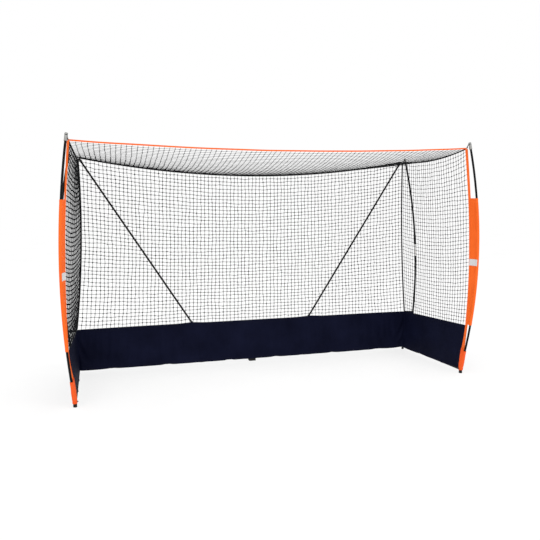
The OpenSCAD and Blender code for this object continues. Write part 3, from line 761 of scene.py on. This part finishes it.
def bound_cord(path, radius, flange):
    """Cord in a sewn casing, with a flange that holds the edge of the net: returns the cloth
    parts and the rows of stitches. flange is the direction that the flange lies in."""
    path = resample(path, 0.006)
    swell = 1 + 0.06 * ripple(path, 0.07, 41)
    pinch = 1 - 0.03 * np.cos(np.arange(len(path)) * 2 * math.pi / 3.5)
    casing = tubes(path[None], radius * swell * pinch * 0.95, 12, flange)
    way = unit(np.gradient(path, axis=0))
    out = unit(flange - (way @ flange)[:, None] * way)
    face = np.cross(way, out)
    middle_line = path + out * (radius + 0.0015) + face * 0.0005 * ripple(path, 0.05, 43)[:, None]
    strip = ribbon(middle_line, out, 0.004, 0.0018)
    rows = [stitches(middle_line + out * 0.001 + face * side * 0.0008, side * face[len(face) // 2])
            for side in (-1, 1)]
    return [casing, strip], rows


def make_cords():
    parts, rows = bound_cord(rear_line(np.linspace(0.003, 0.997, 200)[:, None]), REAR_CORD_R, -UP)
    piece("rear_top_casing", parts, "black_cord", ["rear_top_cord"])
    piece("rear_top_stitches", rows, "black_cord", look=BLACK_THREAD)
    roof = bound_cord(roof_line(np.linspace(0.014, 0.99, 90)[:, None]), ROOF_CORD_R, vec(-1, 0, -0.2))
    seam = bound_cord(seam_line(np.linspace(-0.004, 0.99, 120)[:, None]), SEAM_CORD_R, vec(-0.8, -0.6, 0))
    for name, (parts, rows) in (("roof", roof), ("seam", seam)):
        for side, turn in SIDES:
            piece(name + "_casing_" + side, [turn(part) for part in parts], "black_cord",
                  [name + "_cord_" + side])
            piece(name + "_stitches_" + side, [turn(row) for row in rows], "black_cord",
                  look=BLACK_THREAD)


def make_corner_loops():
    """Cord loops that hook the corners of the net on the nocks of the bows."""
    parts = []
    for bow, length, corner in ((FRONT_BOW, FRONT_NOCK, NET_FRONT + vec(0, -0.004, -0.002)),
                                (REAR_BOW, REAR_NOCK, NET_REAR + vec(0.008, 0.006, 0))):
        nock, way = nock_of(bow, length)
        level = corner - nock
        out = unit(level - (level @ way) * way)
        elbow = nock + out * (ROD_R + 0.008)
        side = np.cross(way, out)
        ring = teardrop(nock, elbow, way, ROD_R + 0.0008, 0.003)
        path = np.concatenate([[corner + side * 0.002], ring, [corner - side * 0.002]])
        for lift in (-0.001, 0.001):
            loop = rope(path + way * lift, 0.0016, 0.012, way)
            parts += [loop, mirror(loop)]
        start = corner + unit(elbow - corner) * 0.003
        end = start + unit(elbow - corner) * 0.014
        bound = whipping(np.stack([start, end]), 0.0045, 0.0024, way)
        parts += [bound, mirror(bound)]
    piece("corner_rope_loops", parts, "black_cord", ["corner_loops"])


# ---- Skirt ----

LOOP_X = [-1.45, -0.9, -0.25, 0.25, 0.9, 1.45]      # webbing loops along the rear tube
LOOP_S = [0.42, 0.78]                               # and along a side arm, from the corner
FOLD_HALF = 0.0013                                  # half of a hem's thickness


def hang_cloth(grid, pinned, grow, frames=36):
    """Lets a sheet that is cut a little larger than its frame hang and wrinkle; returns its grid."""
    nu, nv = grid.shape[:2]
    mesh = bpy.data.meshes.new("hanging")
    i, j = np.meshgrid(np.arange(nu - 1), np.arange(nv - 1), indexing="ij")
    faces = np.stack([i * nv + j, (i + 1) * nv + j, (i + 1) * nv + j + 1, i * nv + j + 1], axis=2)
    mesh.from_pydata(grid.reshape(-1, 3).tolist(), [], faces.reshape(-1, 4).tolist())
    obj = new_object("hanging", mesh)
    group = obj.vertex_groups.new(name="pinned")
    group.add(np.flatnonzero(pinned.ravel()).tolist(), 1.0, "REPLACE")
    modifier = obj.modifiers.new("cloth", "CLOTH")
    settings = modifier.settings
    settings.quality = 6
    settings.mass = 0.25
    settings.tension_stiffness = 12
    settings.compression_stiffness = 12
    settings.shear_stiffness = 6
    settings.bending_stiffness = 0.25
    settings.vertex_group_mass = "pinned"
    settings.shrink_min = -grow
    modifier.collision_settings.use_collision = False
    modifier.point_cache.frame_start, modifier.point_cache.frame_end = 1, frames
    for n in range(1, frames + 1):
        bpy.context.scene.frame_set(n)
    shown = obj.evaluated_get(bpy.context.evaluated_depsgraph_get())
    points = np.zeros(nu * nv * 3, np.float32)
    shown.data.vertices.foreach_get("co", points)
    bpy.data.objects.remove(obj)
    bpy.context.scene.frame_set(1)
    return points.reshape(nu, nv, 3).astype(float)


def limited(grid, rest, most_in, most_out, axis):
    """Keeps a hanging sheet near where it started: along an axis, and in height."""
    off = ((grid - rest) @ axis)[..., None]
    held = grid + axis * (np.clip(off, -most_in, most_out) - off)
    held[..., 2] = np.clip(held[..., 2], rest[..., 2] - 0.006, rest[..., 2] + 0.004)
    return held


def hem_thickness(nu, nv, cell_u, cell_v, hem=0.022, plain=0.0009):
    i = np.minimum(np.arange(nu), np.arange(nu)[::-1])[:, None] * cell_u
    j = np.minimum(np.arange(nv), np.arange(nv)[::-1])[None] * cell_v
    return np.where(np.minimum(i, j) < hem, 2 * FOLD_HALF, plain)


def edged(grid, near=0.06):
    """Adds a row of points close to every edge, so that softening keeps the edges in place."""
    for axis in (0, 1):
        g = np.moveaxis(grid, axis, 0)
        first = g[:1] + (g[1:2] - g[:1]) * near
        last = g[-1:] + (g[-2:-1] - g[-1:]) * near
        grid = np.moveaxis(np.concatenate([g[:1], first, g[1:-1], last, g[-1:]]), 0, axis)
    return grid


def skirt_pins(nu, nv, along, spots):
    """Points of a skirt that are sewn down: its top edge, its ends, and at the spots of its
    loops; along is where each column of points is."""
    pinned = np.zeros((nu, nv), bool)
    pinned[:, -1] = True
    pinned[[0, -1]] = True
    looped = (np.abs(along[:, None] - np.array(spots)[None]) < 0.02).any(axis=1)
    pinned[looped, 0:2] = True
    return pinned


def rear_skirt_grid():
    nu, nv = 237, 29
    across, v = np.linspace(-1, 1, nu)[:, None], np.linspace(0, 1, nv)[None]
    end = REAR_LOW + (REAR_TOP - REAR_LOW) * v[..., None]
    x = across * end[..., 0]
    top = rear_skirt_top(x) - 0.004 * np.abs(across) ** 8
    corner = np.abs(across) ** 40
    y = SKIRT_Y + (end[..., 1] - SKIRT_Y) * corner
    grid = np.stack([x, y + 0 * x, SKIRT_FOOT + (top - SKIRT_FOOT) * v], axis=2)
    pinned = skirt_pins(nu, nv, x[:, 0], LOOP_X)
    uneven = vec(0, 0.0015, 0) * (ripple(grid, 0.25, 3) * ~pinned)[..., None]
    hanging = hang_cloth(grid + uneven, pinned, SKIRT_GROW)
    return limited(hanging, grid, 0.024, 0.006, vec(0, 1, 0))


def side_skirt_grid():
    nu, nv = 73, 29
    u, v = steps(nu - 1)[:, None], np.linspace(0, 1, nv)
    front = skirt_front(v)[None]
    rear = (REAR_LOW + (REAR_TOP - REAR_LOW) * v[:, None])[None]
    grid = front + (rear - front) * u
    pinned = skirt_pins(nu, nv, grid[:, 0, 1], DEPTH - np.array(LOOP_S))
    uneven = vec(0.0015, 0, 0) * (ripple(grid, 0.2, 5) * ~pinned)[..., None]
    hanging = hang_cloth(grid + uneven, pinned, SKIRT_GROW)
    return limited(hanging, grid, 0.022, 0.005, vec(1, 0, 0))


def hem_stitches(grid, face):
    """Two rows of stitches along the top and the bottom hem of a sheet, on both faces."""
    parts = []
    for row in (2, 1, -2, -3):
        for front in (face, -face):
            parts.append(stitches(grid[:, row] + front * FOLD_HALF, front))
    return parts


def make_skirt():
    rear = rear_skirt_grid()
    thick = hem_thickness(*rear.shape[:2], 0.015, 0.0146)
    skin = sheet_of(edged(rear), edged(thick))
    back = piece("rear_skirt_cloth", [skin], "skirt_fabric", ["rear_skirt"])
    soften(back)
    sewn = hem_stitches(rear, vec(0, -1, 0))
    thread = piece("rear_skirt_stitches", sewn, "skirt_fabric", look=BLACK_THREAD)
    grid = side_skirt_grid()
    thick = hem_thickness(*grid.shape[:2], 0.0146, 0.0148)
    for side, turn in SIDES:
        skin = turn(sheet_of(edged(grid), edged(thick)))
        cloth_piece = piece("side_skirt_" + side + "_cloth", [skin], "skirt_fabric",
                            ["side_skirt_" + side])
        soften(cloth_piece)
        sewn = [turn(part) for part in hem_stitches(grid, vec(-1, 0, 0))]
        thread = piece("side_skirt_" + side + "_stitches", sewn, "skirt_fabric", look=BLACK_THREAD)


def soften(obj):
    modifier = obj.modifiers.new("soften", "SUBSURF")
    modifier.levels = modifier.render_levels = 1
    modifier.boundary_smooth = "PRESERVE_CORNERS"


def strap(path, across, width, thick=0.0016):
    """A webbing strap along a loop's path."""
    return ribbon(resample(path, 0.0035), across, width, thick)


def make_straps():
    parts = []
    root_y = SKIRT_Y + 0.0016
    for x in LOOP_X:
        centre = vec(x, DEPTH, TUBE_Z)
        path = teardrop(centre, vec(x, root_y, TUBE_Z), vec(1, 0, 0), TUBE_R + 0.0012)
        parts.append(strap(path, vec(1, 0, 0), STRAP_W))
    arm = unit(vec(POST_X, 0, TUBE_Z) - vec(REAR_X, DEPTH, TUBE_Z))
    for s in LOOP_S:
        centre = vec(REAR_X, DEPTH, TUBE_Z) + arm * s
        path = teardrop(centre, centre + vec(-0.0255 + 0.0055 * s, 0, 0), arm, TUBE_R + 0.0012)
        band = strap(path, arm, STRAP_W)
        parts += [band, mirror(band)]
    piece("skirt_webbing_loops", parts, "skirt_fabric", ["skirt_loops"])
    parts = []
    bow = bow_at(REAR_BOW, SKIRT_H - 0.014)
    corner = REAR_TOP + vec(0.003, 0.002, -0.009)
    tie = strap(teardrop(bow, corner, UP, ROD_R + 0.0012), UP, 0.02)
    parts += [tie, mirror(tie)]
    part = (SKIRT_H - STAY_FOOT[2]) / (STAY_TOP[2] - STAY_FOOT[2])
    stay = STAY_FOOT + part * (STAY_TOP - STAY_FOOT)
    tie = strap(teardrop(stay, vec(stay[0], root_y, stay[2]), UP, STAY_R + 0.0045), UP, 0.014)
    parts += [tie, mirror(tie)]
    piece("skirt_webbing_ties", parts, "skirt_fabric", ["skirt_ties"])


# ---- Orange bands, sleeves and socks ----


def make_bands():
    path = crossbar_line(np.linspace(-0.004, 1.004, 260)[:, None])
    path += vec(0, 0.0012, 0.0012) * ripple(path, 0.35, 8)[:, None]
    strip = ribbon(path, UP, 0.0125, 0.0028)
    bar = piece("crossbar_webbing", [strip], "orange_band", ["crossbar_band"])
    rows = [stitches(path - UP * 0.0035 + vec(0, side * 0.0012, 0), vec(0, side, 0)) for side in (-1, 1)]
    thread = piece("crossbar_stitches", rows, "orange_band", look=ORANGE_THREAD)
    t = np.linspace(-0.006, 1, 200)
    inner, outer = band_line(t, -BAND_W / 2), spline(BAND_SPINE, t) + band_across(t) * band_outer(t)
    facing = np.cross(UP, band_across(t))
    centre = facing[len(t) // 2]
    wave = facing * 0.0012 * ripple(inner, 0.3, 9)[:, None]
    path, width = (inner + outer) / 2 + wave, np.linalg.norm(outer - inner, axis=1)[:, None]
    band = ribbon(path, band_across(t), width, 0.0022)
    rows = []
    for face in (-1, 1):
        rise = facing * face * 0.0009
        inset = band_across(t) * (width / 2 - 0.004)
        rows.append(stitches(path + inset + rise, face * centre))
        rows.append(stitches(path - inset + rise, face * centre))
    for side, turn in SIDES:
        strip = piece("front_webbing_" + side, [turn(band)], "orange_band", ["front_band_" + side])
        thread = piece("front_webbing_stitches_" + side, [turn(row) for row in rows],
                       "orange_band", look=ORANGE_THREAD)


POCKET_R = ROD_R + 0.0026
PANEL_HALF = 0.0018              # half of the sleeve's double panel
POCKET_SEAM = 0.0282             # from a rod's axis to the seam that closes its pocket


def sleeve_section(edge, rod, grow=0.0):
    """Outline of a sleeve at one height: a flat double panel that opens into a pocket round
    the rod. It runs from the band, along the inner face, round the rod and back."""
    way = level_way(edge - rod)
    side = np.cross(UP, way)
    length = np.linalg.norm((edge - rod)[:2])
    radius = POCKET_R + grow
    begin, done = 0.5 * radius, radius + 0.014
    s = np.concatenate([np.linspace(length, done, 9), np.linspace(done, begin, 9)[1:]])
    h = PANEL_HALF + grow + (math.sqrt(0.75) * radius - PANEL_HALF - grow) * (
        1 - smooth((s - begin) / (done - begin))) ** 1.3
    turn = np.radians(np.linspace(60, 300, 19)[1:-1])
    s_all = np.concatenate([s, radius * np.cos(turn), s[::-1]])
    h_all = np.concatenate([h, radius * np.sin(turn), -h[::-1]])
    return rod + way * s_all[:, None] + side * h_all[:, None], side


def sleeve_rings():
    t = np.linspace(0, 1, 190)
    edges = band_line(SLEEVE_START + SLEEVE_SPAN * t, 0.003)
    rods = bow_at(FRONT_BOW, edges[:, 2])
    end = np.minimum(edges[:, 2] - SLEEVE_LOW, SLEEVE_HIGH - edges[:, 2])
    rings, sides = [], []
    for edge, rod, gap in zip(edges, rods, end):
        ring, side = sleeve_section(edge, rod, 0.0007 if gap < 0.02 else 0.0)
        rings.append(ring)
        sides.append(side)
    rings, sides = np.array(rings), np.array(sides)[:, None]
    off = np.linalg.norm((rings - rods[:, None])[..., :2], axis=2)
    width = np.linalg.norm((edges - rods)[:, :2], axis=1)[:, None]
    loose = np.clip((off - POCKET_R) / 0.03, 0, 1) * np.clip((width - off) / 0.02, 0, 1)
    middle_of = rods[:, None] + level_way(edges - rods)[:, None] * off[..., None]
    slow = ripple(middle_of, 0.16, 21) * 0.0022 + ripple(middle_of * vec(1, 1, 2), 0.05, 22) * 0.0007
    pucker = 0.00045 * np.sin(rings[..., 2] * 2 * math.pi / 0.011) * np.exp(-((off - 0.028) / 0.006) ** 2)
    return rings + sides * (loose * slow + pucker)[..., None], rods, edges, sides[:, 0]


def make_sleeves():
    rings, rods, edges, faces = sleeve_rings()
    skin = loft(rings, caps=False)
    ways = level_way(edges - rods)
    rows = []
    for face in (1, -1):
        outward = faces[len(faces) // 2] * face
        seam = rods + ways * POCKET_SEAM + faces * face * (PANEL_HALF + 0.0004)
        rows.append(stitches(seam[3:-3], outward))
        joint = edges - ways * 0.0045 + faces * face * (PANEL_HALF + 0.0003)
        rows.append(stitches(joint[3:-3], outward))
    for k in (2, -3):
        hem = rings[k]
        rows.append(stitches(hem, hem.mean(axis=0), 0.006, 0.004, about=True))
    for side, turn in SIDES:
        cloth_piece = piece("sleeve_cloth_" + side, [turn(skin)], "orange_sleeve", ["sleeve_" + side])
        thicken(cloth_piece, 0.0009)
        thread = piece("sleeve_stitches_" + side, [turn(row) for row in rows], "orange_sleeve",
                       look=ORANGE_THREAD)
    make_patches(rods, edges, ways)


def thicken(obj, thick):
    modifier = obj.modifiers.new("thickness", "SOLIDIFY")
    modifier.thickness = thick
    modifier.offset = -1
    modifier.use_rim = True


def make_patches(rods, edges, ways):
    """Blank reinforcing patches, sewn on the side of the sleeves that faces the goal mouth:
    each starts on the band, crosses the panel and bends round the pocket."""
    middle_z, height, lift = 1.097, 0.063, 0.0010
    row = np.abs(edges[:, 2] - middle_z).argmin()
    outline, side = sleeve_section(edges[row], rods[row], lift)
    if side @ vec(-1, -0.3, 0) < 0:
        side, outline = -side, outline[::-1]
    outline = outline[:21]
    start = edges[row] + ways[row] * 0.010
    flat = start + side * 0.0026
    path = resample(np.concatenate([[flat], outline]) * vec(1, 1, 0), 0.004)
    z = np.linspace(-height / 2, height / 2, 15)
    lean = (rods[row + 8] - rods[row - 8]) / (rods[row + 8] - rods[row - 8])[2]
    grid = path[:, None] + UP * middle_z + lean * z[None, :, None]
    part = sheet_of(grid, 0.0012)
    patches = piece("sleeve_patch_cloth", [part, mirror(part)], "white_patch", ["sleeve_patches"])
    rim = np.concatenate([grid[1, 1:-1], grid[1:-1, -2], grid[-2, 1:-1][::-1], grid[1:-1, 1][::-1]])
    middle = rods[row] * vec(1, 1, 0) + UP * middle_z
    away = rim - middle
    away -= ways[row] * np.maximum(0, away @ ways[row])[:, None]
    seam = stitches(rim + level_way(away) * 0.0008, side, 0.005, 0.0035)
    thread = piece("sleeve_patch_stitches", [seam, mirror(seam)], "white_patch", look=WHITE_THREAD)


def sock_ring(circles, heights, points):
    """Outline of cloth pulled round two members, each (x and y, radius); heights gives Z from
    how far along a point is from the second member to the first."""
    turn = np.linspace(0, 2 * math.pi, 721)
    way = np.stack([np.cos(turn), np.sin(turn)], axis=1)
    reach = np.stack([way @ centre + radius for centre, radius in circles], axis=1)
    pick = reach.argmax(axis=1)
    centres = np.array([centre for centre, _ in circles])[pick]
    radii = np.array([radius for _, radius in circles])[pick][:, None]
    line = centres + way * radii
    span = circles[0][0] - circles[1][0]
    part = np.clip((line - circles[1][0]) @ span / (span @ span), 0, 1)
    line = np.concatenate([line, heights(part)[:, None]], axis=1)
    return points_at(line, np.linspace(0, lengths(line)[-1], points + 1)[:-1])


def make_socks():
    """Flat orange pocket over a front socket: it closes up to the rod, is sewn round the
    band's lower end, and is gathered above the foot by a drawstring."""
    low_z, rod_z, band_z = 0.031, 0.222, 0.252
    points, folds = 64, 16
    band_high = band_line([0.0], 0.0015 - BAND_W / 2)[0][:2]
    rod_high = bow_at(FRONT_BOW, rod_z)[:2]
    band_low, rod_low = vec(POST_X - 0.0025, 0.0035), vec(POST_X + 0.0025, -0.0035)
    rings = []
    for t in np.linspace(0, 1, 64):
        circles = [(band_low + (band_high - band_low) * t, 0.0172 - 0.0152 * t ** 1.7),
                   (rod_low + (rod_high - rod_low) * t, 0.0182 - 0.0045 * t)]
        ring = sock_ring(circles, lambda part: low_z + (rod_z + (band_z - rod_z) * part - low_z) * t,
                         points)
        out = level_way(ring - ring.mean(axis=0))
        gather = np.exp(-((t - 0.06) / 0.035) ** 2)
        fold = 0.0009 * gather * np.cos(np.arange(points) * 2 * math.pi / points * folds)
        wrinkle = 0.0012 * ripple(ring * vec(1, 1, 2), 0.055, 31) * math.sin(math.pi * min(1, 0.08 + t))
        rings.append(ring + out * (fold + wrinkle - 0.0012 * gather)[:, None])
    rings = np.array(rings)
    skin = loft(rings, caps=False)
    trims = []
    string = rings[4] + level_way(rings[4] - rings[4].mean(axis=0)) * 0.0008
    trims.append(loft(loop_rings(string, 0.0013, 6), closed=True))
    for k in (1, -3):
        hem = rings[k] + level_way(rings[k] - rings[k].mean(axis=0)) * 0.0004
        trims.append(stitches(hem, hem.mean(axis=0), 0.006, 0.004, about=True))
    for side, turn in SIDES:
        # The socks wear the darker copy of the sleeve cloth, whose darkening is painted shade
        sock = piece("foot_sock_cloth_" + side, [turn(skin)], "orange_sleeve", ["foot_sock_" + side],
                     LOOKS["orange_sock_painted_shade"])
        thicken(sock, 0.001)
        trim = piece("foot_sock_trim_" + side, [turn(part) for part in trims], "orange_sleeve",
                     look=ORANGE_THREAD)


# ---- Stage, light and camera ----


def make_floor():
    """Pale floor that also glows a little, as in a picture on a white ground."""
    mesh = bpy.data.meshes.new("floor")
    size = 60.0
    corners = [(-size, -size, 0), (size, -size, 0), (size, size, 0), (-size, size, 0)]
    mesh.from_pydata(corners, [], [(0, 1, 2, 3)])
    floor = new_object("floor", mesh)
    material, tree, shader = make("pale_floor", 0.9, 0.0, 0.0)
    tint(tree, shader, noise(tree, place(tree), 1.3), (0.23, 0.23, 0.23), (0.25, 0.25, 0.25))
    shader.inputs["Emission Color"].default_value = (1, 1, 1, 1)
    shader.inputs["Emission Strength"].default_value = 0.76
    mesh.materials.append(material)


def area_light(name, place_at, power):
    """A large round lamp that is turned to the middle of the goal."""
    light = bpy.data.lights.new(name, "AREA")
    light.shape = "DISK"
    light.size = 4.0
    light.energy = power
    lamp = new_object(name, light)
    lamp.location = place_at
    way = vec(*place_at) - vec(0, 0, 0.8)
    lamp.rotation_mode = "QUATERNION"
    lamp.rotation_quaternion = Vector(way).to_track_quat("Z", "Y")


def make_light():
    world = bpy.data.worlds.new("studio")
    world.use_nodes = True
    world.node_tree.nodes["Background"].inputs["Color"].default_value = (1, 1, 1, 1)
    world.node_tree.nodes["Background"].inputs["Strength"].default_value = 1.0
    bpy.context.scene.world = world
    area_light("key", (4.0, -6.0, 6.0), 110)
    area_light("fill", (-5.0, -5.0, 4.0), 60)
    area_light("back", (0.0, 6.0, 5.0), 40)
    bpy.context.scene.view_settings.view_transform = "Standard"


def make_camera():
    camera = bpy.data.cameras.new("camera")
    camera.lens = 45.32
    camera.sensor_width = 36.0
    viewer = new_object("camera", camera)
    viewer.location = (-1.892, -5.693 + FRONT_Y, 1.767)
    viewer.rotation_euler = (math.radians(83.47), 0, math.radians(-17.13))
    bpy.context.scene.camera = viewer


make_camera()
dress_cad_nodes()
make_nets()
make_cords()
make_corner_loops()
make_skirt()
make_straps()
make_bands()
make_sleeves()
make_socks()
make_floor()
make_light()
